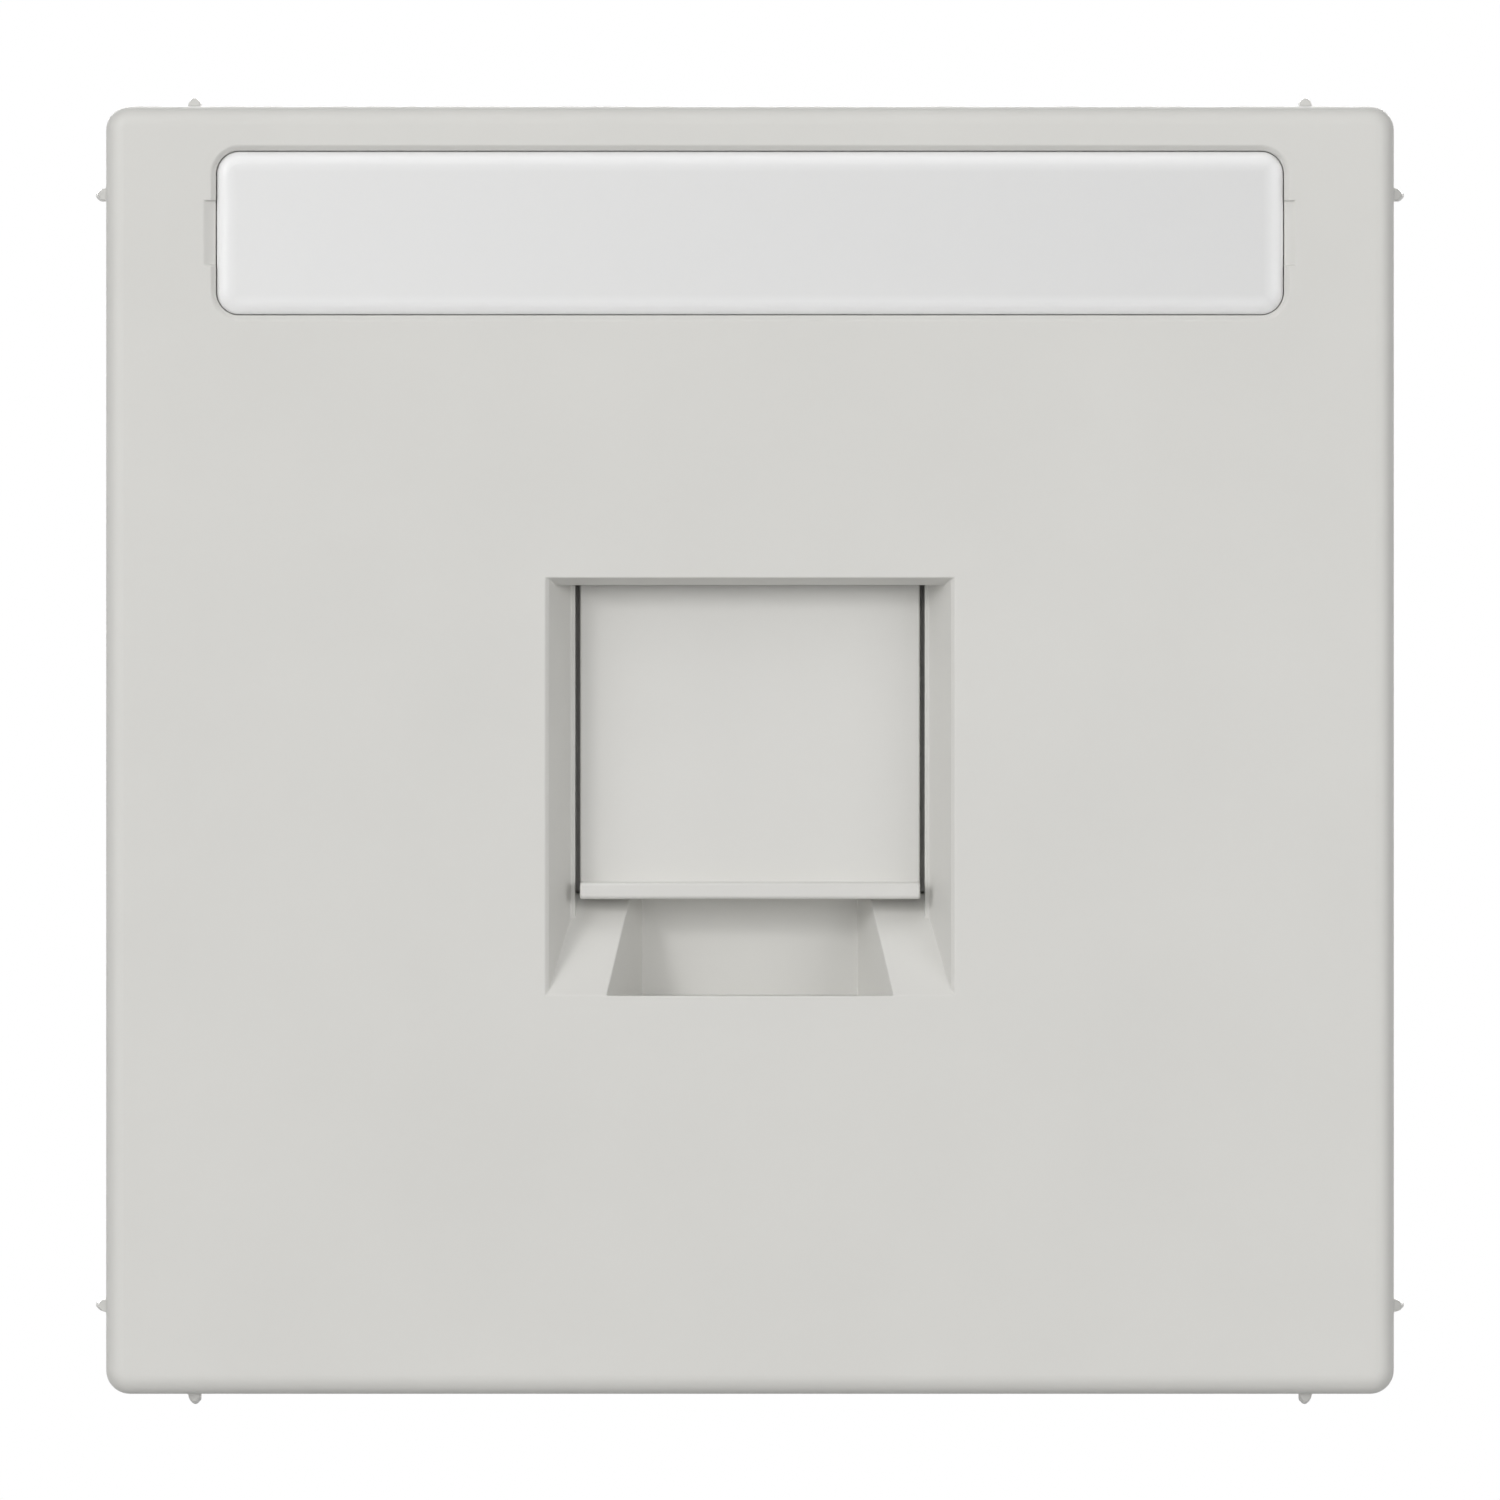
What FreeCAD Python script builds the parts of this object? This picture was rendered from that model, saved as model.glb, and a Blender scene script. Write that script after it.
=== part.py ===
import FreeCAD, Part
import os
import re
import Sketcher
from FreeCAD import Vector
from math import cos, pi, sin

# Modular wall plate for structured cabling: a square centre plate with a label field and a jack opening
# that a sprung sliding shutter keeps free of dust.
# X points right, Z up and Y into the wall. The origin is the centre of the rear rim, which lies in Y = 0.
# A depth is measured from the front face towards the wall, a height or drop from the plate's centre line.

SIZES = [
    ("plate_size", 70.0, "width and height of the plate"),
    ("plate_height", 9.0, "rear rim to front face"),
    ("corner_radius", 1.3, "corners of the plate seen from the front"),
    ("edge_radius", 1.0, "rounding between front face and skirt"),
    ("skirt_wall", 1.6, "thickness of the skirt"),
    ("front_wall", 2.0, "thickness of the front"),
    ("hollow_corner", 0.6, "corners of the hollow behind the front"),
    ("nub_offset", 30.2, "wedge rib on the skirt, distance from the centre line"),
    ("nub_width", 0.66, "width of the rib"),
    ("nub_bevel", 0.24, "bevel along each side of its crest"),
    ("nub_sink", 0.1, "how far its root goes into the skirt"),
    ("nub_start", 1.1, "depth at which it begins"),
    ("nub_rise", 0.4, "length of its steep front"),
    ("nub_shoulder", 0.44, "height above the skirt behind the steep front"),
    ("nub_proud", 0.62, "height above the skirt at its end"),
    ("nub_end", 7.6, "depth at which it ends"),
    ("label_width", 58.6, "label recess at the front face"),
    ("label_height", 9.5, "label recess at the front face"),
    ("label_bevel", 0.28, "bevel round its edge"),
    ("label_centre", 28.1, "height of its middle"),
    ("label_depth", 1.9, "depth of its floor"),
    ("label_floor", 1.2, "thickness of its floor"),
    ("label_wall", 1.4, "wall round the recess at the back"),
    ("label_corner", 1.55, "corner radius at the front face"),
    ("lever_height", 3.5, "lever notch at each end of the recess"),
    ("lever_width", 0.4, "reach of the notch past the recess"),
    ("lever_depth", 0.48, "depth of its sloping side"),
    ("tab_height", 2.4, "end tab of the clear cover"),
    ("tab_proud", 0.6, "reach of the tab past the cover"),
    ("tab_thickness", 0.5, "thickness of the tab"),
    ("tab_play", 0.15, "play of the tab in its slot"),
    ("window_play", 0.05, "clearance round the clear cover"),
    ("window_setback", 0.1, "depth of its front face"),
    ("window_corner", 1.2, "corner radius"),
    ("window_bevel", 0.35, "bevel of its front edge"),
    ("window_round", 0.8, "rounding between bevel and front face"),
    ("strip_border", 0.9, "rim of the cover round the label strip"),
    ("strip_play", 0.15, "clearance round and over the strip"),
    ("strip_thickness", 0.25, "thickness of the strip"),
    ("mouth_width", 22.0, "opening at the front face, but for its softened edge"),
    ("mouth_soft", 0.22, "bevel of the upright edges of the opening"),
    ("mouth_top", 9.36, "height of its bevelled upper edge"),
    ("mouth_bevel", 1.1, "depth of that bevel"),
    ("mouth_bottom", 13.35, "drop of its lower edge"),
    ("throat_width", 18.7, "opening at the back of the funnel"),
    ("throat_top", 8.97, "height of its upper edge"),
    ("throat_bottom", 7.75, "drop of the top of the sloping sill"),
    ("throat_depth", 4.4, "depth of the funnel"),
    ("ledge_depth", 3.3, "depth of the ledge beside the shutter"),
    ("ledge_width", 0.35, "width of the ledge with its root in the wall"),
    ("brow_depth", 3.2, "depth of the wall over the opening"),
    ("brow_wall", 1.2, "thickness of that wall"),
    ("notch_mouth", 15.6, "finger notch, width at the front face"),
    ("notch_base", 11.75, "width of its floor"),
    ("notch_depth", 6.3, "depth of its floor"),
    ("notch_wall", 1.2, "wall round the notch"),
    ("notch_top", 7.68, "drop of the upper end of its floor"),
    ("sill_wall", 1.25, "wall below the opening"),
    ("sill_depth", 5.8, "depth of the block under the sill"),
    ("sill_play", 0.06, "play between the shutter and its lower stop"),
    ("core_inner", 8.4, "hollow at the back of the sill, nearer side"),
    ("core_outer", 10.5, "farther side"),
    ("core_top", 10.6, "drop of its upper end"),
    ("core_bottom", 13.7, "drop of its lower end"),
    ("core_depth", 3.6, "depth of its floor"),
    ("rail_inner", 9.5, "guide rail, inner side"),
    ("rail_outer", 11.5, "outer side"),
    ("rail_depth", 4.8, "depth of its back"),
    ("rail_top", 22.6, "height of its upper end"),
    ("channel_inner", 14.9, "spring channel, inner side of the outer wall"),
    ("channel_outer", 15.9, "outer side of that wall"),
    ("channel_bottom", 7.6, "drop of its lower end"),
    ("channel_end", 21.4, "height of the seat of the spring"),
    ("bed_width", 1.6, "raised bed in front of the spring"),
    ("bed_depth", 3.9, "depth of its top"),
    ("bed_bottom", 3.0, "drop of its lower end"),
    ("bed_top", 20.4, "height of its upper end"),
    ("peg_radius", 0.55, "peg that centres the end of a spring"),
    ("peg_length", 1.3, "length of the peg"),
    ("leg_inner", 20.6, "snap leg for the supporting ring, inner side"),
    ("leg_wall", 1.4, "thickness of the leg"),
    ("leg_width", 6.0, "width of the leg"),
    ("leg_catch", 1.6, "catch, behind the rim"),
    ("leg_hook", 0.9, "reach of the catch"),
    ("leg_reach", 4.6, "tip, behind the rim"),
    ("leg_tip", 0.9, "thickness at the tip"),
    ("leg_spacing", 24.0, "distance between upper and lower legs"),
    ("post_play", 0.15, "hook that holds the carrier, side play"),
    ("post_wall", 1.2, "thickness of the hook"),
    ("post_width", 4.0, "width of the hook"),
    ("post_hook", 0.7, "reach of its nose"),
    ("post_tip", 0.2, "tip, in front of the rim"),
    ("post_low", 9.0, "drop of the lower pair"),
    ("post_spacing", 26.0, "distance between upper and lower pair"),
    ("rib_wall", 0.9, "thickness of the stiffening ribs"),
    ("rib_depth", 3.4, "depth of their edge"),
    ("rib_low", 13.5, "drop of the lowest cross rib"),
    ("rib_spacing", 30.0, "lowest to highest cross rib"),
    ("rib_foot", 9.0, "upright ribs, distance from the centre line"),
    ("shutter_width", 18.5, "panel"),
    ("shutter_top", 11.0, "height of its upper edge"),
    ("shutter_bottom", 7.75, "drop of its lower edge"),
    ("shutter_front", 3.5, "depth of its front"),
    ("shutter_back", 5.65, "depth of its back"),
    ("tongue_width", 21.2, "width over the tongues"),
    ("tongue_front", 4.95, "depth of their front"),
    ("lip_height", 0.92, "finger lip"),
    ("lip_drop", 0.36, "reach of the lip below the panel"),
    ("lip_front", 1.9, "depth of its front"),
    ("lip_round", 0.2, "rounding of its edges"),
    ("shell_border", 1.3, "rim round the hollow back of the panel"),
    ("shell_depth", 4.6, "depth of the hollow's floor"),
    ("ear_low", 6.0, "ear under the spring, drop of its lower side"),
    ("ear_high", 4.5, "drop of its upper side"),
    ("ear_inner", 11.8, "nearer side of its thick end"),
    ("ear_outer", 14.5, "farther side"),
    ("ear_front", 4.35, "depth of the front of its thick end"),
    ("spring_place", 13.2, "distance of the springs from the centre line"),
    ("spring_depth", 5.1, "depth of their axes"),
    ("spring_outer", 2.2, "outer diameter"),
    ("wire", 0.32, "diameter of the wire"),
    ("spring_turns", 7, "turns"),
    ("spring_play", 0.05, "play at each end"),
    ("carrier_width", 34.8, "flange of the carrier"),
    ("carrier_top", 24.0, "height of its upper edge"),
    ("carrier_bottom", 14.8, "drop of its lower edge"),
    ("carrier_front", 5.9, "depth of its front"),
    ("carrier_back", 7.65, "depth of its back"),
    ("carrier_corner", 1.5, "corner radius"),
    ("aperture_width", 14.8, "aperture for the jack"),
    ("aperture_top", 8.6, "height of its upper edge"),
    ("aperture_bottom", 7.7, "drop of its lower edge"),
    ("collar_wall", 1.5, "collar behind the flange"),
    ("collar_back", 14.0, "depth of its end"),
    ("catch_width", 8.6, "windows for the catches of the jack"),
    ("upper_catch_front", 9.8, "depth of the upper window"),
    ("upper_catch_back", 12.2, "far side"),
    ("lower_catch_front", 9.0, "depth of the lower window"),
    ("lower_catch_back", 11.0, "far side"),
    ("slot_width", 1.8, "slot behind the spring"),
    ("slot_bottom", 5.2, "drop of its lower end"),
    ("slot_top", 21.7, "height of its upper end"),
]

WIRE_SIDES = 6
NEAR = 1e-6
LEFT, RIGHT = -1, 1


def make_sheet(doc):
    """The sheet of driving dimensions, one named cell to a row."""
    sheet = doc.addObject("Spreadsheet::Sheet", "Sizes")
    for row, (name, value, meaning) in enumerate(SIZES, start=1):
        sheet.set(f"A{row}", name)
        sheet.set(f"B{row}", str(value))
        sheet.set(f"C{row}", meaning)
        sheet.setAlias(f"B{row}", name)
    doc.recompute()


def bound(formula):
    """A formula on the sheet's names, with each name pointed at its cell."""
    return re.sub(r"[a-z][a-z_]+", lambda name: "Sizes." + name.group(), formula)


def plane_at(depth):
    """Offset of a front-view sketch plane that lies at a depth."""
    return f"plate_height - ({depth})"


def y_at(depth):
    """Y of a depth, for plan-view sketches."""
    return f"({depth}) - plate_height"


def times(side, formula):
    """A distance from the centre line, taken to the left or to the right."""
    return f"{side} * ({formula})"


def new_body(doc, label):
    body = doc.addObject("PartDesign::Body", label)
    body.Label = label
    return body


def origin_part(body, role):
    return next(part for part in body.Origin.OriginFeatures if part.Role == role)


def new_sketch(body, name, plane, offset):
    """An empty sketch on an origin plane of its body, moved along the plane's normal."""
    sketch = body.newObject("Sketcher::SketchObject", name)
    sketch.AttachmentSupport = [(origin_part(body, plane), "")]
    sketch.MapMode = "FlatFace"
    sketch.setExpression("AttachmentOffset.Base.z", bound(offset))
    return sketch


def front_sketch(body, name, depth):
    """Front view: X to the right and Z up, with the normal out of the front face."""
    return new_sketch(body, name, "XZ_Plane", plane_at(depth))


def plan_sketch(body, name, height="0"):
    """Seen from above: X to the right and Y into the wall."""
    return new_sketch(body, name, "XY_Plane", height)


def side_sketch(body, name, across):
    """Side view: Y into the wall and Z up, with the normal to the right."""
    return new_sketch(body, name, "YZ_Plane", across)


def pin(sketch, line, position, point, formulas):
    """Ties a point of the sketch to its origin by two bound distances."""
    for kind, value, formula in zip(("DistanceX", "DistanceY"), (point.x, point.y), formulas):
        index = sketch.addConstraint(Sketcher.Constraint(kind, -1, 1, line, position, value))
        sketch.setExpression(f"Constraints[{index}]", bound(formula))


def polygon(sketch, corners):
    """A closed outline through corners given as pairs of formulas."""
    points = [Vector(*(float(sketch.evalExpression(bound(f))) for f in pair), 0) for pair in corners]
    first = sketch.GeometryCount
    count = len(points)
    for index, point in enumerate(points):
        sketch.addGeometry(Part.LineSegment(point, points[(index + 1) % count]), False)
    for index in range(count):
        following = first + (index + 1) % count
        sketch.addConstraint(Sketcher.Constraint("Coincident", first + index, 2, following, 1))
    for index, point in enumerate(points):
        pin(sketch, first + index, 1, point, corners[index])


def rectangle(sketch, left, right, low, high):
    polygon(sketch, [(left, low), (right, low), (right, high), (left, high)])


def centred(sketch, width, low, high):
    """A rectangle that is symmetrical about the centre line."""
    rectangle(sketch, f"-({width}) / 2", f"({width}) / 2", low, high)


def circle(sketch, across, along, radius):
    """A circle whose centre and radius are formulas."""
    centre = Vector(*(float(sketch.evalExpression(bound(f))) for f in (across, along)), 0)
    size = float(sketch.evalExpression(bound(radius)))
    index = sketch.addGeometry(Part.Circle(centre, Vector(0, 0, 1), size), False)
    pin(sketch, index, 3, centre, (across, along))
    limit = sketch.addConstraint(Sketcher.Constraint("Radius", index, size))
    sketch.setExpression(f"Constraints[{limit}]", bound(radius))


def extrusion(sketch, kind, length, reverse, both_ways):
    body = sketch.getParentGeoFeatureGroup()
    feature = body.newObject("PartDesign::" + kind, f"{sketch.Name}_{kind.lower()}")
    feature.Profile = sketch
    feature.Reversed = reverse
    if both_ways:
        feature.SideType = "Symmetric"
    if length == "through":
        feature.Type = "ThroughAll"
    else:
        feature.setExpression("Length", bound(length))
    return feature


def pad(sketch, length, reverse=False, both_ways=False):
    """Adds the sketch's outline, along the sketch's normal unless reversed."""
    return extrusion(sketch, "Pad", length, reverse, both_ways)


def pocket(sketch, length, reverse=False, both_ways=False):
    """Cuts the sketch's outline, against the sketch's normal unless reversed."""
    return extrusion(sketch, "Pocket", length, reverse, both_ways)


def loft(kind, start, *sections):
    """A straight-sided body, added or cut, through outlines one behind the other."""
    body = start.getParentGeoFeatureGroup()
    feature = body.newObject("PartDesign::" + kind, f"{start.Name}_loft")
    feature.Profile = start
    feature.Sections = list(sections)
    feature.Ruled = True
    return feature


def linear_pattern(body, originals, length, count):
    """Copies upwards, evenly spaced over a length."""
    feature = body.newObject("PartDesign::LinearPattern", f"{originals[0].Name}_row")
    feature.Originals = originals
    feature.Direction = (origin_part(body, "Z_Axis"), [""])
    feature.setExpression("Length", bound(length))
    feature.Occurrences = count
    body.Tip = feature
    return feature


def polar_pattern(body, originals, count):
    """Copies about the axis that runs through the plate from front to back."""
    feature = body.newObject("PartDesign::PolarPattern", f"{originals[0].Name}_ring")
    feature.Originals = originals
    feature.Axis = (origin_part(body, "Y_Axis"), [""])
    feature.Angle = 360
    feature.Occurrences = count
    body.Tip = feature
    return feature


def dress(body, kind, limit, formula, wanted):
    """Rounds or bevels those edges of the body so far that pass the test."""
    body.Document.recompute()
    base = body.Tip
    names = [f"Edge{number}" for number, edge in enumerate(base.Shape.Edges, start=1) if wanted(edge)]
    feature = body.newObject("PartDesign::" + kind, f"{base.Name}_{kind.lower()}")
    feature.Base = (base, names)
    feature.setExpression(limit, bound(formula))
    body.Document.recompute()


def round_edges(body, radius, wanted):
    dress(body, "Fillet", "Radius", radius, wanted)


def bevel_edges(body, width, wanted):
    dress(body, "Chamfer", "Size", width, wanted)


def size(body, formula):
    """The present value of a formula, for finding edges by their place."""
    return float(body.evalExpression(bound(formula)))


def runs_through(edge):
    """True for an edge that runs straight from front to back."""
    box = edge.BoundBox
    return box.YLength > NEAR and box.XLength < NEAR and box.ZLength < NEAR


def lies_at(edge, y):
    """True for an edge that lies in a plane parallel to the front face."""
    box = edge.BoundBox
    return abs(box.YMin - y) < NEAR and abs(box.YMax - y) < NEAR


def face_plate(doc):
    body = new_body(doc, "face_plate")
    plate_cap(body)
    rear_bosses(body)
    shutter_guides(body)
    label_recess(body)
    jack_opening(body)
    skirt_nubs(body)
    rear_catches(body)
    return body


def plate_cap(body):
    """The square cap: rounded outside, hollow at the back."""
    outline = front_sketch(body, "outline", "plate_height")
    centred(outline, "plate_size", "-plate_size / 2", "plate_size / 2")
    pad(outline, "plate_height")
    round_edges(body, "corner_radius", runs_through)
    front = -size(body, "plate_height")
    round_edges(body, "edge_radius", lambda edge: lies_at(edge, front))
    hollow = front_sketch(body, "hollow", "plate_height")
    inside = "plate_size - 2 * skirt_wall"
    centred(hollow, inside, f"-({inside}) / 2", f"({inside}) / 2")
    pocket(hollow, "plate_height - front_wall", reverse=True)
    inner = size(body, f"({inside}) / 2")

    def at_hollow_corner(edge):
        return runs_through(edge) and abs(abs(edge.BoundBox.Center.x) - inner) < NEAR

    round_edges(body, "hollow_corner", at_hollow_corner)


def rear_bosses(body):
    """Thicker places at the back of the front wall, and the stiffening ribs."""
    behind_label = front_sketch(body, "behind_label", "front_wall")
    half = "label_height / 2 + label_wall"
    centred(behind_label, "label_width + 2 * label_wall",
            f"label_centre - ({half})", f"label_centre + {half}")
    pad(behind_label, "label_depth + label_floor - front_wall", reverse=True)

    brow = front_sketch(body, "brow", "front_wall")
    centred(brow, "2 * rail_outer", "throat_top - brow_wall", "throat_top + brow_wall")
    pad(brow, "brow_depth - front_wall", reverse=True)

    sill = front_sketch(body, "sill", "front_wall")
    centred(sill, "2 * rail_outer", "-mouth_bottom - sill_wall", "-throat_bottom - sill_play")
    pad(sill, "sill_depth - front_wall", reverse=True)

    behind_notch = front_sketch(body, "behind_notch", "sill_depth")
    centred(behind_notch, "notch_base + 2 * notch_wall", "-mouth_bottom - sill_wall", "-notch_top")
    pad(behind_notch, "notch_depth + notch_wall - sill_depth", reverse=True)

    upright_ribs = front_sketch(body, "upright_ribs", "front_wall")
    cross_ribs = front_sketch(body, "cross_ribs", "front_wall")
    skirt = "plate_size / 2 - skirt_wall"
    for side in (LEFT, RIGHT):
        rectangle(upright_ribs, times(side, "rib_foot - rib_wall / 2"),
                  times(side, "rib_foot + rib_wall / 2"), f"-({skirt})", "-mouth_bottom - sill_wall")
        rectangle(cross_ribs, times(side, "channel_outer"), times(side, skirt),
                  "-rib_low - rib_wall / 2", "-rib_low + rib_wall / 2")
    pad(upright_ribs, "rib_depth - front_wall", reverse=True)
    cross_rib = pad(cross_ribs, "rib_depth - front_wall", reverse=True)
    linear_pattern(body, [cross_rib], "rib_spacing", count=3)


def shutter_guides(body):
    """Rails for the tongues of the shutter, and a channel with a bed and a peg for each spring."""
    rails = front_sketch(body, "rails", "front_wall")
    channels = front_sketch(body, "channels", "front_wall")
    beds = front_sketch(body, "beds", "front_wall")
    pegs = plan_sketch(body, "upper_pegs", "channel_end")
    for side in (LEFT, RIGHT):
        rectangle(rails, times(side, "rail_inner"), times(side, "rail_outer"),
                  "-throat_bottom - sill_play", "rail_top")
        polygon(channels, [(times(side, across), up) for across, up in (
            ("channel_inner", "-channel_bottom"), ("channel_outer", "-channel_bottom"),
            ("channel_outer", "rail_top"), ("rail_outer", "rail_top"),
            ("rail_outer", "channel_end"), ("channel_inner", "channel_end"))])
        rectangle(beds, times(side, "spring_place - bed_width / 2"),
                  times(side, "spring_place + bed_width / 2"), "-bed_bottom", "bed_top")
        circle(pegs, times(side, "spring_place"), y_at("spring_depth"), "peg_radius")
    pad(rails, "rail_depth - front_wall", reverse=True)
    pad(channels, "carrier_front - front_wall", reverse=True)
    pad(beds, "bed_depth - front_wall", reverse=True)
    pad(pegs, "peg_length", reverse=True)


def label_recess(body):
    """Bevelled recess for the label and its clear cover, with a lever notch and a tab slot at each end."""
    recess = front_sketch(body, "recess", "0")
    half = "label_height / 2 - label_bevel"
    end = "label_width / 2 - label_bevel"
    centred(recess, f"2 * ({end})", f"label_centre - ({half})", f"label_centre + {half}")
    pocket(recess, "label_depth")
    ends = size(body, end)
    levels = [size(body, f"label_centre {sign} ({half})") for sign in "+-"]

    def at_recess_corner(edge):
        centre = edge.BoundBox.Center
        return (runs_through(edge) and abs(abs(centre.x) - ends) < NEAR
                and min(abs(centre.z - level) for level in levels) < NEAR)

    round_edges(body, "label_corner - label_bevel", at_recess_corner)
    front = -size(body, "plate_height")

    def at_recess_rim(edge):
        box = edge.BoundBox
        return (lies_at(edge, front) and max(-box.XMin, box.XMax) < ends + NEAR
                and box.ZMin > min(levels) - NEAR and box.ZMax < max(levels) + NEAR)

    bevel_edges(body, "label_bevel", at_recess_rim)

    levers = plan_sketch(body, "levers", "label_centre")
    slots = plan_sketch(body, "tab_slots", "label_centre")
    slot_end = f"{end} - window_play + tab_proud + tab_play"
    for side in (LEFT, RIGHT):
        polygon(levers, [(times(side, end), y_at("0")),
                         (times(side, "label_width / 2 + lever_width"), y_at("0")),
                         (times(side, end), y_at("lever_depth"))])
        rectangle(slots, times(side, end), times(side, slot_end),
                  y_at("label_depth - tab_thickness - tab_play"), y_at("label_depth"))
    pocket(levers, "lever_height", both_ways=True)
    pocket(slots, "tab_height + 2 * tab_play", both_ways=True)


def funnel_width(depth):
    return f"mouth_width - (mouth_width - throat_width) * {depth} / throat_depth"


def sill_height(depth):
    return f"-mouth_bottom + (mouth_bottom - throat_bottom) * {depth} / throat_depth"


def jack_opening(body):
    """The funnel with its sloping sill, the finger notch in the sill, and the hollows behind the sill."""
    mouth = front_sketch(body, "mouth", "0")
    centred(mouth, f"{funnel_width('mouth_soft')} + 2 * mouth_soft", "-mouth_bottom", "mouth_top")
    edge = front_sketch(body, "behind_edge", "mouth_soft")
    centred(edge, funnel_width("mouth_soft"), sill_height("mouth_soft"),
            "mouth_top - (mouth_top - throat_top) * mouth_soft / mouth_bevel")
    bevel = front_sketch(body, "behind_bevel", "mouth_bevel")
    centred(bevel, funnel_width("mouth_bevel"), sill_height("mouth_bevel"), "throat_top")
    throat = front_sketch(body, "throat", "throat_depth")
    centred(throat, "throat_width", "-throat_bottom", "throat_top")
    loft("SubtractiveLoft", mouth, edge, bevel, throat)

    ledges = front_sketch(body, "ledges", "ledge_depth")
    for side in (LEFT, RIGHT):
        rectangle(ledges, times(side, "rail_inner"), times(side, "rail_inner + ledge_width"),
                  f"{sill_height('ledge_depth')} - ledge_width", "throat_top + ledge_width")
    pad(ledges, "rail_depth - ledge_depth", reverse=True)

    notch_mouth = front_sketch(body, "notch_front", "0")
    centred(notch_mouth, "notch_mouth", "-mouth_bottom", "0")
    notch_floor = front_sketch(body, "notch_back", "notch_depth")
    centred(notch_floor, "notch_base", "-mouth_bottom", "0")
    loft("SubtractiveLoft", notch_mouth, notch_floor)

    cores = front_sketch(body, "sill_cores", "sill_depth")
    for side in (LEFT, RIGHT):
        rectangle(cores, times(side, "core_inner"), times(side, "core_outer"), "-core_bottom", "-core_top")
    pocket(cores, "sill_depth - core_depth", reverse=True)


def skirt_nubs(body):
    """Eight small blunt ribs on the skirt, two to a side, that centre the plate in its outer frame."""
    skirt = "plate_size / 2"
    for name, side in (("left", LEFT), ("right", RIGHT)):
        rib = side_sketch(body, f"nub_{name}", times(side, "nub_offset"))
        polygon(rib, [
            (y_at("nub_start"), f"{skirt} - nub_sink"),
            (y_at("nub_start + nub_rise"), f"{skirt} + nub_shoulder"),
            (y_at("nub_end"), f"{skirt} + nub_proud"),
            (y_at("nub_end"), f"{skirt} - nub_sink")])
        polar_pattern(body, [pad(rib, "nub_width", both_ways=True)], count=4)
    crest = size(body, f"{skirt} + nub_shoulder")
    length = size(body, "nub_end - nub_start - nub_rise")

    def along_crest(edge):
        box = edge.BoundBox
        return abs(box.YLength - length) < NEAR and max(abs(box.Center.x), abs(box.Center.z)) > crest

    bevel_edges(body, "nub_bevel", along_crest)


def rear_catches(body):
    """Snap legs that go into the supporting ring, and hooks that hold the carrier."""
    legs = plan_sketch(body, "legs", "-leg_spacing / 2")
    posts = plan_sketch(body, "posts", "-post_low")
    wall = y_at("front_wall")
    leg_outer = "leg_inner + leg_wall"
    post_inner = "carrier_width / 2 + post_play"
    post_outer = f"{post_inner} + post_wall"
    catch = y_at("carrier_back + post_play")
    for side in (LEFT, RIGHT):
        polygon(legs, [(times(side, across), along) for across, along in (
            ("leg_inner", wall), (leg_outer, wall), (leg_outer, "leg_catch"),
            (f"{leg_outer} + leg_hook", "leg_catch"), ("leg_inner + leg_tip", "leg_reach"),
            ("leg_inner", "leg_reach"))])
        polygon(posts, [(times(side, across), along) for across, along in (
            (post_inner, wall), (post_outer, wall), (post_outer, "-post_tip"),
            (post_inner, "-post_tip"), (f"{post_inner} - post_hook", catch), (post_inner, catch))])
    leg = pad(legs, "leg_width", both_ways=True)
    linear_pattern(body, [leg], "leg_spacing", count=2)
    post = pad(posts, "post_width", both_ways=True)
    linear_pattern(body, [post], "post_spacing", count=2)


def label_window(doc):
    """The clear cover: a pane with a soft front edge, hollow behind for the strip, a tab at each end."""
    body = new_body(doc, "label_window")
    pane = front_sketch(body, "pane", "label_depth")
    half = "label_height / 2 - label_bevel - window_play"
    end = "label_width / 2 - label_bevel - window_play"
    centred(pane, f"2 * ({end})", f"label_centre - ({half})", f"label_centre + {half}")
    pad(pane, "label_depth - window_setback")
    round_edges(body, "window_corner", runs_through)
    front = size(body, y_at("window_setback"))
    bevel_edges(body, "window_bevel", lambda edge: lies_at(edge, front))
    round_edges(body, "window_round", lambda edge: lies_at(edge, front))

    seat = front_sketch(body, "strip_seat", "label_depth")
    inner = f"{half} - strip_border"
    centred(seat, f"2 * ({end} - strip_border)", f"label_centre - ({inner})",
            f"label_centre + {inner}")
    pocket(seat, "strip_thickness + strip_play", reverse=True)

    tabs = plan_sketch(body, "end_tabs", "label_centre")
    for side in (LEFT, RIGHT):
        rectangle(tabs, times(side, f"{end} - strip_border / 2"), times(side, f"{end} + tab_proud"),
                  y_at("label_depth - tab_thickness"), y_at("label_depth"))
    pad(tabs, "tab_height", both_ways=True)
    return body


def label_strip(doc):
    """The paper insert, lying on the floor of the recess."""
    body = new_body(doc, "label_strip")
    paper = front_sketch(body, "paper", "label_depth")
    border = "label_bevel + window_play + strip_border + strip_play"
    half = f"label_height / 2 - ({border})"
    centred(paper, f"label_width - 2 * ({border})",
            f"label_centre - ({half})", f"label_centre + {half}")
    pad(paper, "strip_thickness")
    return body


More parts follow.
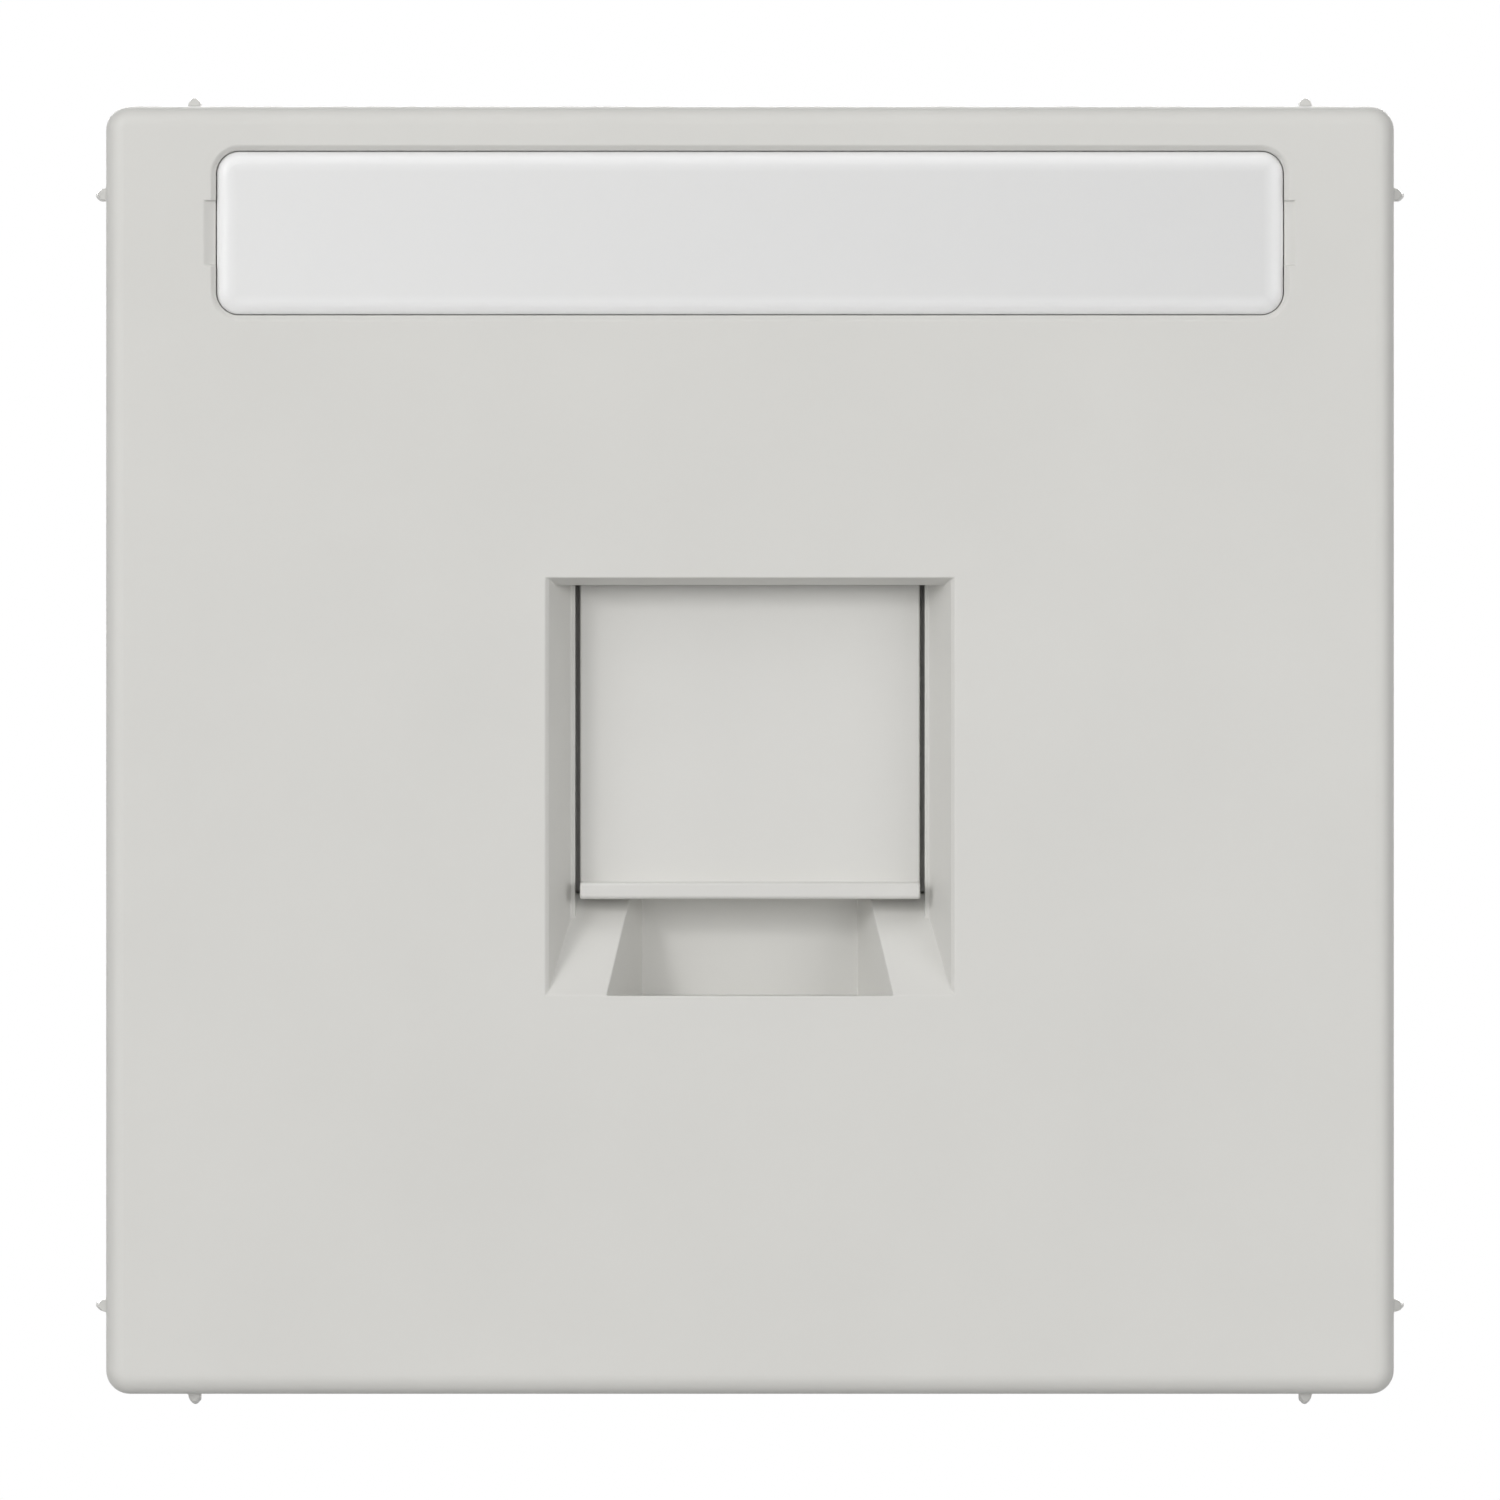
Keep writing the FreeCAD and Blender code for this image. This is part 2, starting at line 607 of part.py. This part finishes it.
def dust_shutter(doc):
    """The sliding panel: tongues behind the rails, a finger lip, a hollow back, an ear under each spring."""
    body = new_body(doc, "dust_shutter")
    panel = front_sketch(body, "panel", "shutter_back")
    centred(panel, "shutter_width", "-shutter_bottom", "shutter_top")
    pad(panel, "shutter_back - shutter_front")
    lip = front_sketch(body, "lip", "shutter_front")
    lip_bottom = "-shutter_bottom - lip_drop"
    centred(lip, "shutter_width", lip_bottom, f"{lip_bottom} + lip_height")
    pad(lip, "shutter_front - lip_front")
    front = size(body, y_at("lip_front"))
    round_edges(body, "lip_round", lambda edge: lies_at(edge, front) and edge.BoundBox.ZLength < NEAR)

    tongues = front_sketch(body, "tongues", "shutter_back")
    ears = front_sketch(body, "ears", "shutter_back")
    pegs = plan_sketch(body, "lower_pegs", "-ear_high")
    for side in (LEFT, RIGHT):
        polygon(tongues, [(times(side, across), up) for across, up in (
            ("shutter_width / 2", "-shutter_bottom"), ("tongue_width / 2", "-shutter_bottom"),
            ("tongue_width / 2", "-ear_low"), ("ear_inner", "-ear_low"), ("ear_inner", "-ear_high"),
            ("tongue_width / 2", "-ear_high"), ("tongue_width / 2", "shutter_top"),
            ("shutter_width / 2", "shutter_top"))])
        rectangle(ears, times(side, "ear_inner"), times(side, "ear_outer"), "-ear_low", "-ear_high")
        circle(pegs, times(side, "spring_place"), y_at("spring_depth"), "peg_radius")
    pad(tongues, "shutter_back - tongue_front")
    pad(ears, "shutter_back - ear_front")
    pad(pegs, "peg_length")

    hollow = front_sketch(body, "hollow_back", "shutter_back")
    centred(hollow, "shutter_width - 2 * shell_border",
            "-shutter_bottom + shell_border", "shutter_top - shell_border")
    pocket(hollow, "shutter_back - shell_depth", reverse=True)
    return body


def shutter_spring(doc, label, side):
    """A compression spring between an ear of the shutter and the end of its channel."""
    body = new_body(doc, label)
    section = new_sketch(body, f"wire_{label}", "XZ_Plane", "0")
    mean = "(spring_outer - wire) / 2"
    turn = 2 * pi / WIRE_SIDES
    polygon(section, [(f"{mean} + wire / 2 * {cos(turn * n):.6f}", f"wire / 2 * {sin(turn * n):.6f}")
                      for n in range(WIRE_SIDES)])
    coil = body.newObject("PartDesign::AdditiveHelix", f"coil_{label}")
    coil.Profile = section
    coil.ReferenceAxis = (section, ["V_Axis"])
    coil.Mode = "height-turns-angle"
    coil.setExpression("Height", bound("channel_end + ear_high - 2 * spring_play - wire"))
    coil.setExpression("Turns", bound("spring_turns"))
    coil.LeftHanded = side == LEFT
    body.setExpression("Placement.Base.x", bound(times(side, "spring_place")))
    body.setExpression("Placement.Base.y", bound(y_at("spring_depth")))
    body.setExpression("Placement.Base.z", bound("-ear_high + spring_play + wire / 2"))
    return body


def jack_carrier(doc):
    """The frame behind the shutter: a flange astride the finger notch, and a collar for a clip-in jack."""
    body = new_body(doc, "jack_carrier")
    flange = front_sketch(body, "flange", "carrier_back")
    polygon(flange, [
        ("-carrier_width / 2", "-carrier_bottom"), ("-aperture_width / 2", "-carrier_bottom"),
        ("-aperture_width / 2", "aperture_top"), ("aperture_width / 2", "aperture_top"),
        ("aperture_width / 2", "-carrier_bottom"), ("carrier_width / 2", "-carrier_bottom"),
        ("carrier_width / 2", "carrier_top"), ("-carrier_width / 2", "carrier_top")])
    pad(flange, "carrier_back - carrier_front")
    outer = size(body, "carrier_width / 2")

    def at_flange_corner(edge):
        return runs_through(edge) and abs(abs(edge.BoundBox.Center.x) - outer) < NEAR

    round_edges(body, "carrier_corner", at_flange_corner)

    collar = front_sketch(body, "collar", "carrier_back")
    centred(collar, "aperture_width + 2 * collar_wall",
            "-aperture_bottom - collar_wall", "aperture_top + collar_wall")
    centred(collar, "aperture_width", "-aperture_bottom", "aperture_top")
    pad(collar, "collar_back - carrier_back", reverse=True)

    for level, upward in (("upper", True), ("lower", False)):
        catch = plan_sketch(body, f"{level}_catch")
        centred(catch, "catch_width", y_at(f"{level}_catch_front"), y_at(f"{level}_catch_back"))
        pocket(catch, "through", reverse=upward)

    slots = front_sketch(body, "spring_slots", "carrier_front")
    for side in (LEFT, RIGHT):
        rectangle(slots, times(side, "spring_place - slot_width / 2"),
                  times(side, "spring_place + slot_width / 2"), "-slot_bottom", "slot_top")
    pocket(slots, "through")
    return body


def check(doc, bodies):
    """Stops when an object failed or a sub-part isn't one sound solid."""
    for thing in doc.Objects:
        if {"Invalid", "Error"} & set(thing.State):
            raise RuntimeError(f"{thing.Label} failed: {thing.State}")
    for body in bodies:
        if body.Shape.isNull() or not body.Shape.isValid() or len(body.Shape.Solids) != 1:
            raise RuntimeError(f"{body.Label} isn't one sound solid")


def write(bodies):
    os.makedirs("parts", exist_ok=True)
    for body in bodies:
        body.Shape.exportStep(f"parts/{body.Label}.step")
        print(f"{body.Label}: {body.Shape.Volume:.1f} mm3")


def main():
    doc = FreeCAD.newDocument("ModularWallPlate")
    make_sheet(doc)
    bodies = [
        face_plate(doc),
        label_window(doc),
        label_strip(doc),
        dust_shutter(doc),
        shutter_spring(doc, "shutter_spring_left", LEFT),
        shutter_spring(doc, "shutter_spring_right", RIGHT),
        jack_carrier(doc),
    ]
    doc.recompute()
    check(doc, bodies)
    write(bodies)


main()
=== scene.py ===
import math

import bmesh
import bpy
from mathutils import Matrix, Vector


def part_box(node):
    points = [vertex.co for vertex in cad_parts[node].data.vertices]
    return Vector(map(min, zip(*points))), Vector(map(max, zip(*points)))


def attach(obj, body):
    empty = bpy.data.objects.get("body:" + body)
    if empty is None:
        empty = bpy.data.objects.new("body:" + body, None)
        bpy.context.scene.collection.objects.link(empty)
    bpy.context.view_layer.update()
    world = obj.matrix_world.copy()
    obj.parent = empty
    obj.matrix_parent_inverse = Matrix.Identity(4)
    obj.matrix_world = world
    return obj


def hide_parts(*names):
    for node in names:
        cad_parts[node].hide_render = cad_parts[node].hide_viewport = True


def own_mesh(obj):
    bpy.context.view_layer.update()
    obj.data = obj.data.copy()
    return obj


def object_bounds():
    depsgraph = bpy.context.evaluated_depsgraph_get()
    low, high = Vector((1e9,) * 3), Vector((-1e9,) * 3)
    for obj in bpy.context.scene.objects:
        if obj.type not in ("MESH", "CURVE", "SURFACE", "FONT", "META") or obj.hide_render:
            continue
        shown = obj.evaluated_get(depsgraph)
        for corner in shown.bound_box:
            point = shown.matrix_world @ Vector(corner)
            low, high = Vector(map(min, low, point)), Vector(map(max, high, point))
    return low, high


# Modular wall plate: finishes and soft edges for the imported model, round-wire springs and a plain studio.
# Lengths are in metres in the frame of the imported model: X to the right, Z up, Y into the wall.

MM = 0.001
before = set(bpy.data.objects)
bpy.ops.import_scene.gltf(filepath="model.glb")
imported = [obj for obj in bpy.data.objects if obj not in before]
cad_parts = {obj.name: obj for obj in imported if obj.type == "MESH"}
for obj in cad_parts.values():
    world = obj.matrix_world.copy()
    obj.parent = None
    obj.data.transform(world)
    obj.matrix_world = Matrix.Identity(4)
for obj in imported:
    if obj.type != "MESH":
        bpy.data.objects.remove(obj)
cad_low, cad_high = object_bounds()

# The photograph is a straight front view, 1500 pixels wide, in which the 70 mm plate spans 1288 pixels.
PHOTO_PIXELS = 1500
PLATE_PIXELS = 1288
PLATE_WIDTH = 70 * MM
VIEW_WIDTH = PLATE_WIDTH * PHOTO_PIXELS / PLATE_PIXELS
LENS = 1600
SENSOR = 36
CAMERA_REACH = 20

PLATE_COLOUR = (0.640, 0.634, 0.608)
SHUTTER_COLOUR = (0.640, 0.634, 0.610)
CARRIER_COLOUR = (0.560, 0.556, 0.535)
PAPER_COLOUR = (0.80, 0.80, 0.79)
# The next two cover colours are the ends of a painted sheen: lighter to the left, darker to the right.
COVER_PAINTED_SHEEN_LEFT = (0.760, 0.760, 0.757)
COVER_PAINTED_SHEEN_RIGHT = (0.688, 0.688, 0.685)
# The next cover colour is a painted highlight along the cover's rim.
COVER_PAINTED_RIM_HIGHLIGHT = (0.85, 0.85, 0.85)
STEEL_COLOUR = (0.56, 0.56, 0.57)
FLOOR_COLOUR = (0.55, 0.55, 0.55)

# Finishes. The scale of a noise is in waves per metre, and a drift is the share by which a colour varies.
NOISE_MIDDLE = (0.3, 0.7)
RELIEF = 0.02 * MM
PLATE_ROUGHNESS = 0.46
SHUTTER_ROUGHNESS = 0.44
CARRIER_ROUGHNESS = 0.52
ROUGHNESS_SPREAD = 0.04
PLASTIC_IOR = 1.5
PLASTIC_SPECULAR = 0.3
TONE_SCALE = 90
TONE_DRIFT = 0.012
GLOSS_SCALE = 700
GRAIN_SCALE = 7000
GRAIN_DETAIL = 3
GRAIN_STRENGTH = 0.12
COVER_ROUGHNESS = (0.36, 0.42)
COVER_IOR = 1.49
COVER_GLOSS_SCALE = 500
COVER_RIPPLE_SCALE = 260
COVER_RIPPLE_STRENGTH = 0.05
COVER_MILKINESS = 0.6
COVER_MILK_DEPTH = 0.5 * MM
PAPER_ROUGHNESS = 0.9
FIBRE_SCALE = 3500
FIBRE_DETAIL = 5
FIBRE_DRIFT = 0.02
FIBRE_STRENGTH = 0.2
STEEL_ROUGHNESS = (0.22, 0.38)
MARK_SCALE = 9000
MARK_DETAIL = 4
MARK_DRIFT = 0.06
FLOOR_ROUGHNESS = 0.8
FLOOR_TONE_SCALE = 4
FLOOR_DRIFT = 0.01

# Lights: white surroundings, a small and a broad main light from the upper left, and broad soft ones from
# the front, both sides, above and behind. Each lamp has a name, a direction, a distance, a diameter and a
# level, which is what a white surface facing it would show.
SKY_LEVEL = 0.141
LAMPS = [
    ("key", Vector((-0.74, -1.0, 0.43)), 2.4, 0.40, 0.146),
    ("broad_key", Vector((-0.7, -1.0, 0.7)), 1.8, 1.2, 0.160),
    ("front_fill", Vector((0.0, -1.0, 0.1)), 1.6, 1.3, 0.145),
    ("left_fill", Vector((-0.95, -1.0, 0.0)), 1.8, 1.2, 0.323),
    ("right_fill", Vector((0.95, -1.0, 0.0)), 1.8, 1.2, 0.463),
    ("top_fill", Vector((0.0, -0.5, 1.0)), 1.6, 1.0, 0.121),
    ("back_fill", Vector((0.0, 1.0, 0.4)), 1.6, 1.3, 0.65),
]

# The floor lies a little below the plate, just out of the picture. FLOOR_WHITENESS is the share of plain
# white over its shadow up to FLOOR_NEAR from the middle. Past FLOOR_FAR it is all white.
FLOOR_HALF = 2.0
FLOOR_DROP = 8 * MM
FLOOR_NEAR = 60 * MM
FLOOR_FAR = 220 * MM
FLOOR_WHITENESS = 0.5

# Softened edges of the imported nodes, the end tabs of the cover, and the width of the painted highlight
# along its rim.
EDGE = 0.08 * MM
SHUTTER_EDGE = 0.12 * MM
EDGE_STEPS = 2
SHARP_ANGLE = math.radians(32)
FLAT_ANGLE = math.radians(0.4)
WELD_GAP = 0.001 * MM
COVER_TAB = 0.6 * MM
PAINTED_RIM_HIGHLIGHT_WIDTH = 1.1 * MM

# Springs of round wire with closed ends.
WIRE = 0.32 * MM
SPRING_OUTER = 2.2 * MM
ACTIVE_TURNS = 9
END_TURNS = 1.25
END_PITCH = 1.05 * WIRE
STEPS_PER_TURN = 40
WIRE_SIDES = 12


def add_node(tree, kind, **values):
    """A shader node with some of its inputs set by name."""
    node = tree.nodes.new("ShaderNode" + kind)
    for name, value in values.items():
        node.inputs[name.replace("_", " ")].default_value = value
    return node


def maths(tree, operation, first, second):
    """One step of arithmetic on two sockets."""
    node = tree.nodes.new("ShaderNodeMath")
    node.operation = operation
    tree.links.new(first, node.inputs[0])
    tree.links.new(second, node.inputs[1])
    return node.outputs[0]


def noise(tree, coordinates, scale, detail=2):
    texture = add_node(tree, "TexNoise", Scale=scale, Detail=detail)
    tree.links.new(coordinates.outputs["Object"], texture.inputs["Vector"])
    return texture.outputs["Fac"]


def spread(tree, factor, low, high):
    """Maps the middle of a noise to a range of values."""
    least, most = NOISE_MIDDLE
    mapped = add_node(tree, "MapRange", From_Min=least, From_Max=most, To_Min=low, To_Max=high)
    tree.links.new(factor, mapped.inputs["Value"])
    return mapped.outputs["Result"]


def colour_mix(tree, factor, first, second):
    """Mixes two colours. Each is given as numbers or as a socket."""
    mix = tree.nodes.new("ShaderNodeMix")
    mix.data_type = "RGBA"
    for name, colour in (("A", first), ("B", second)):
        if isinstance(colour, bpy.types.NodeSocket):
            tree.links.new(colour, mix.inputs[name])
        else:
            mix.inputs[name].default_value = (*colour, 1)
    tree.links.new(factor, mix.inputs["Factor"])
    return mix.outputs["Result"]


def tinted(tree, factor, colour, drift):
    """A colour that drifts a little lighter and darker with a noise."""
    darker = [c * (1 - drift) for c in colour]
    lighter = [c * (1 + drift) for c in colour]
    return colour_mix(tree, spread(tree, factor, 0, 1), darker, lighter)


def bump(tree, height, strength):
    node = add_node(tree, "Bump", Strength=strength, Distance=RELIEF)
    tree.links.new(height, node.inputs["Height"])
    return node.outputs["Normal"]


def new_material(name):
    material = bpy.data.materials.new(name)
    material.use_nodes = True
    tree = material.node_tree
    return material, tree, tree.nodes["Principled BSDF"], tree.nodes.new("ShaderNodeTexCoord")


def moulded_plastic(name, colour, roughness):
    """Opaque moulded plastic with a fine satin grain and a slight drift of tone."""
    material, tree, shader, coordinates = new_material(name)
    tone = tinted(tree, noise(tree, coordinates, TONE_SCALE), colour, TONE_DRIFT)
    tree.links.new(tone, shader.inputs["Base Color"])
    gloss = spread(tree, noise(tree, coordinates, GLOSS_SCALE),
                   roughness - ROUGHNESS_SPREAD, roughness + ROUGHNESS_SPREAD)
    tree.links.new(gloss, shader.inputs["Roughness"])
    grain = bump(tree, noise(tree, coordinates, GRAIN_SCALE, GRAIN_DETAIL), GRAIN_STRENGTH)
    tree.links.new(grain, shader.inputs["Normal"])
    shader.inputs["IOR"].default_value = PLASTIC_IOR
    shader.inputs["Specular IOR Level"].default_value = PLASTIC_SPECULAR
    return material


def edge_distance(tree, place, low, high):
    """Distance of a point from the nearest side of the cover, seen from the front."""
    nearest = None
    for axis, least, most in (("X", low.x + COVER_TAB, high.x - COVER_TAB), ("Z", low.z, high.z)):
        for start, stop in ((least, most), (most, least)):
            mapped = add_node(tree, "MapRange", From_Min=start, From_Max=stop, To_Max=most - least)
            tree.links.new(place.outputs[axis], mapped.inputs["Value"])
            reach = mapped.outputs["Result"]
            nearest = reach if nearest is None else maths(tree, "MINIMUM", nearest, reach)
    return nearest


def clear_plastic(name, node):
    """Milky clear plastic over paper, faintly rippled, with painted light: a painted sheen makes it lighter
    to the left and darker to the right, and a painted highlight makes it paler along its thick rim.
    """
    material, tree, shader, coordinates = new_material(name)
    low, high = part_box(node)
    place = tree.nodes.new("ShaderNodeSeparateXYZ")
    tree.links.new(coordinates.outputs["Object"], place.inputs["Vector"])
    across = add_node(tree, "MapRange", From_Min=low.x, From_Max=high.x)
    tree.links.new(place.outputs["X"], across.inputs["Value"])
    # Painted sheen: the base colour runs from lighter on the left to darker on the right.
    body = colour_mix(tree, across.outputs["Result"], COVER_PAINTED_SHEEN_LEFT, COVER_PAINTED_SHEEN_RIGHT)
    # Painted highlight: within a band along the cover's edge the base colour turns paler.
    painted_rim_highlight = add_node(tree, "MapRange", From_Min=0, From_Max=PAINTED_RIM_HIGHLIGHT_WIDTH, To_Min=1, To_Max=0)
    tree.links.new(edge_distance(tree, place, low, high), painted_rim_highlight.inputs["Value"])
    tone = colour_mix(tree, painted_rim_highlight.outputs["Result"], body, COVER_PAINTED_RIM_HIGHLIGHT)
    tree.links.new(tone, shader.inputs["Base Color"])
    shader.inputs["Subsurface Weight"].default_value = COVER_MILKINESS
    shader.inputs["Subsurface Radius"].default_value = (1, 1, 1)
    shader.inputs["Subsurface Scale"].default_value = COVER_MILK_DEPTH
    shader.inputs["IOR"].default_value = COVER_IOR
    gloss = spread(tree, noise(tree, coordinates, COVER_GLOSS_SCALE), *COVER_ROUGHNESS)
    tree.links.new(gloss, shader.inputs["Roughness"])
    ripple = bump(tree, noise(tree, coordinates, COVER_RIPPLE_SCALE), COVER_RIPPLE_STRENGTH)
    tree.links.new(ripple, shader.inputs["Normal"])
    return material


def paper(name, colour):
    """Uncoated paper with fibres a few tenths of a millimetre long."""
    material, tree, shader, coordinates = new_material(name)
    fibres = noise(tree, coordinates, FIBRE_SCALE, FIBRE_DETAIL)
    tree.links.new(tinted(tree, fibres, colour, FIBRE_DRIFT), shader.inputs["Base Color"])
    tree.links.new(bump(tree, fibres, FIBRE_STRENGTH), shader.inputs["Normal"])
    shader.inputs["Roughness"].default_value = PAPER_ROUGHNESS
    return material


def spring_steel(name, colour):
    """Drawn wire, bright with fine marks."""
    material, tree, shader, coordinates = new_material(name)
    marks = noise(tree, coordinates, MARK_SCALE, MARK_DETAIL)
    tree.links.new(tinted(tree, marks, colour, MARK_DRIFT), shader.inputs["Base Color"])
    tree.links.new(spread(tree, marks, *STEEL_ROUGHNESS), shader.inputs["Roughness"])
    shader.inputs["Metallic"].default_value = 1
    return material


def finish_node(name, material, edge=0.0):
    """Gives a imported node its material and, where asked, slightly rounded edges."""
    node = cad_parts[name]
    node.data.materials.clear()
    node.data.materials.append(material)
    if edge:
        weld = node.modifiers.new("weld", "WELD")
        weld.merge_threshold = WELD_GAP
        flat = node.modifiers.new("flat_faces", "DECIMATE")
        flat.decimate_type = "DISSOLVE"
        flat.angle_limit = FLAT_ANGLE
        soft = node.modifiers.new("soft_edges", "BEVEL")
        soft.width = edge
        soft.segments = EDGE_STEPS
        soft.limit_method = "ANGLE"
        soft.angle_limit = SHARP_ANGLE
        soft.use_clamp_overlap = False
        soft.loop_slide = False
        soft.harden_normals = True


def spring_path(low, high):
    """Points of a compression spring about the Z axis, with closed ends, from its lowest to its highest."""
    turns = ACTIVE_TURNS + 2 * END_TURNS
    closed = END_TURNS * END_PITCH
    count = round(turns * STEPS_PER_TURN)
    radius = (SPRING_OUTER - WIRE) / 2
    for step in range(count + 1):
        turn = turns * step / count
        if turn < END_TURNS:
            rise = closed * turn / END_TURNS
        elif turn > turns - END_TURNS:
            rise = high - low - closed * (turns - turn) / END_TURNS
        else:
            rise = closed + (high - low - 2 * closed) * (turn - END_TURNS) / ACTIVE_TURNS
        angle = 2 * math.pi * turn
        yield Vector((radius * math.cos(angle), radius * math.sin(angle), low + rise))


def wire_mesh(name, points, centre):
    """A round wire with flat ends through points that wind about an upright axis."""
    mesh = bmesh.new()
    rings = []
    for index, point in enumerate(points):
        along = (points[min(index + 1, len(points) - 1)] - points[max(index - 1, 0)]).normalized()
        outward = Vector((point.x - centre.x, point.y - centre.y, 0)).normalized()
        upward = along.cross(outward).normalized()
        ring = []
        for corner in range(WIRE_SIDES):
            angle = 2 * math.pi * corner / WIRE_SIDES
            offset = outward * math.cos(angle) + upward * math.sin(angle)
            ring.append(mesh.verts.new(point + offset * WIRE / 2))
        rings.append(ring)
    for lower, upper in zip(rings, rings[1:]):
        for corner in range(WIRE_SIDES):
            after = (corner + 1) % WIRE_SIDES
            mesh.faces.new((lower[corner], lower[after], upper[after], upper[corner]))
    mesh.faces.new(rings[0])
    mesh.faces.new(rings[-1])
    bmesh.ops.recalc_face_normals(mesh, faces=mesh.faces)
    data = bpy.data.meshes.new(name)
    mesh.to_mesh(data)
    mesh.free()
    for face in data.polygons:
        face.use_smooth = len(face.vertices) == 4
    return data


def spring(name, node, material):
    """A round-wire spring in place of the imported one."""
    low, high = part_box(node)
    centre = (low + high) / 2
    side = -1 if centre.x < 0 else 1
    points = [Vector((centre.x + side * p.x, centre.y + p.y, p.z))
              for p in spring_path(low.z + WIRE / 2, high.z - WIRE / 2)]
    data = wire_mesh(name, points, centre)
    data.materials.append(material)
    piece = bpy.data.objects.new(name, data)
    bpy.context.scene.collection.objects.link(piece)
    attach(piece, "plate")
    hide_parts(node)
    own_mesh(piece)


def shown_white(tree, shader, white, share=None):
    """Mixes a shader with white, or a share of it, for what the camera, gloss and clear plastic see."""
    path = tree.nodes.new("ShaderNodeLightPath")
    seen = maths(tree, "MAXIMUM", path.outputs["Is Camera Ray"], path.outputs["Is Glossy Ray"])
    seen = maths(tree, "MAXIMUM", seen, path.outputs["Is Transmission Ray"])
    if share is not None:
        seen = maths(tree, "MULTIPLY", seen, share)
    mix = tree.nodes.new("ShaderNodeMixShader")
    tree.links.new(seen, mix.inputs["Fac"])
    tree.links.new(shader.outputs[0], mix.inputs[1])
    tree.links.new(white.outputs[0], mix.inputs[2])
    return mix.outputs[0]


def make_world():
    """Surroundings that light the part weakly and evenly and show plain white."""
    world = bpy.data.worlds.new("studio")
    bpy.context.scene.world = world
    world.use_nodes = True
    tree = world.node_tree
    light = tree.nodes["Background"]
    light.inputs["Color"].default_value = (1, 1, 1, 1)
    light.inputs["Strength"].default_value = SKY_LEVEL
    white = add_node(tree, "Background", Color=(1, 1, 1, 1), Strength=1)
    tree.links.new(shown_white(tree, light, white), tree.nodes["World Output"].inputs["Surface"])


def floor_whiteness(tree, coordinates):
    """How much of the floor shows plain white: less in the shadow's reach, all of it farther away."""
    reach = tree.nodes.new("ShaderNodeVectorMath")
    reach.operation = "LENGTH"
    tree.links.new(coordinates.outputs["Object"], reach.inputs[0])
    fade = add_node(tree, "MapRange", From_Min=FLOOR_NEAR, From_Max=FLOOR_FAR,
                    To_Min=FLOOR_WHITENESS, To_Max=1)
    fade.interpolation_type = "SMOOTHSTEP"
    tree.links.new(reach.outputs["Value"], fade.inputs["Value"])
    return fade.outputs["Result"]


def make_floor():
    """A pale floor a little below the plate that keeps a soft shadow and shows white farther away."""
    mesh = bpy.data.meshes.new("floor")
    corners = ((-1, -1), (1, -1), (1, 1), (-1, 1))
    mesh.from_pydata([(FLOOR_HALF * x, FLOOR_HALF * y, 0) for x, y in corners], [], [(0, 1, 2, 3)])
    material, tree, shader, coordinates = new_material("floor")
    tone = tinted(tree, noise(tree, coordinates, FLOOR_TONE_SCALE), FLOOR_COLOUR, FLOOR_DRIFT)
    tree.links.new(tone, shader.inputs["Base Color"])
    shader.inputs["Roughness"].default_value = FLOOR_ROUGHNESS
    white = add_node(tree, "Emission", Color=(1, 1, 1, 1), Strength=1)
    surface = shown_white(tree, shader, white, floor_whiteness(tree, coordinates))
    tree.links.new(surface, tree.nodes["Material Output"].inputs["Surface"])
    mesh.materials.append(material)
    floor = bpy.data.objects.new("floor", mesh)
    floor.location.z = cad_low.z - FLOOR_DROP
    bpy.context.scene.collection.objects.link(floor)


def make_light(name, direction, distance, diameter, level):
    """A round area light aimed at the plate, with the power that lights a facing surface to a level."""
    light = bpy.data.lights.new(name, "AREA")
    light.shape = "DISK"
    light.size = diameter
    light.energy = level * math.pi ** 2 * (distance ** 2 + diameter ** 2 / 4)
    lamp = bpy.data.objects.new(name, light)
    lamp.location = direction.normalized() * distance
    lamp.rotation_euler = direction.to_track_quat("Z", "Y").to_euler()
    bpy.context.scene.collection.objects.link(lamp)


def make_camera():
    """Square on to the front face, far enough off to look nearly parallel."""
    data = bpy.data.cameras.new("camera")
    data.sensor_width = SENSOR
    data.lens = LENS
    data.clip_end = CAMERA_REACH
    camera = bpy.data.objects.new("camera", data)
    distance = VIEW_WIDTH * LENS / SENSOR
    camera.location = (0, cad_low.y - distance, 0)
    camera.rotation_euler = (math.pi / 2, 0, 0)
    bpy.context.scene.collection.objects.link(camera)
    bpy.context.scene.camera = camera


finish_node("face_plate", moulded_plastic("plate_plastic", PLATE_COLOUR, PLATE_ROUGHNESS), EDGE)
finish_node("dust_shutter", moulded_plastic("shutter_plastic", SHUTTER_COLOUR, SHUTTER_ROUGHNESS),
            SHUTTER_EDGE)
finish_node("jack_carrier", moulded_plastic("carrier_plastic", CARRIER_COLOUR, CARRIER_ROUGHNESS), EDGE)
finish_node("label_window", clear_plastic("clear_plastic", "label_window"))
finish_node("label_strip", paper("label_paper", PAPER_COLOUR))
steel = spring_steel("spring_steel", STEEL_COLOUR)
for side in ("left", "right"):
    spring(f"spring_wire_{side}", f"shutter_spring_{side}", steel)

make_world()
make_floor()
for lamp in LAMPS:
    make_light(*lamp)
make_camera()
bpy.context.scene.view_settings.view_transform = "Standard"
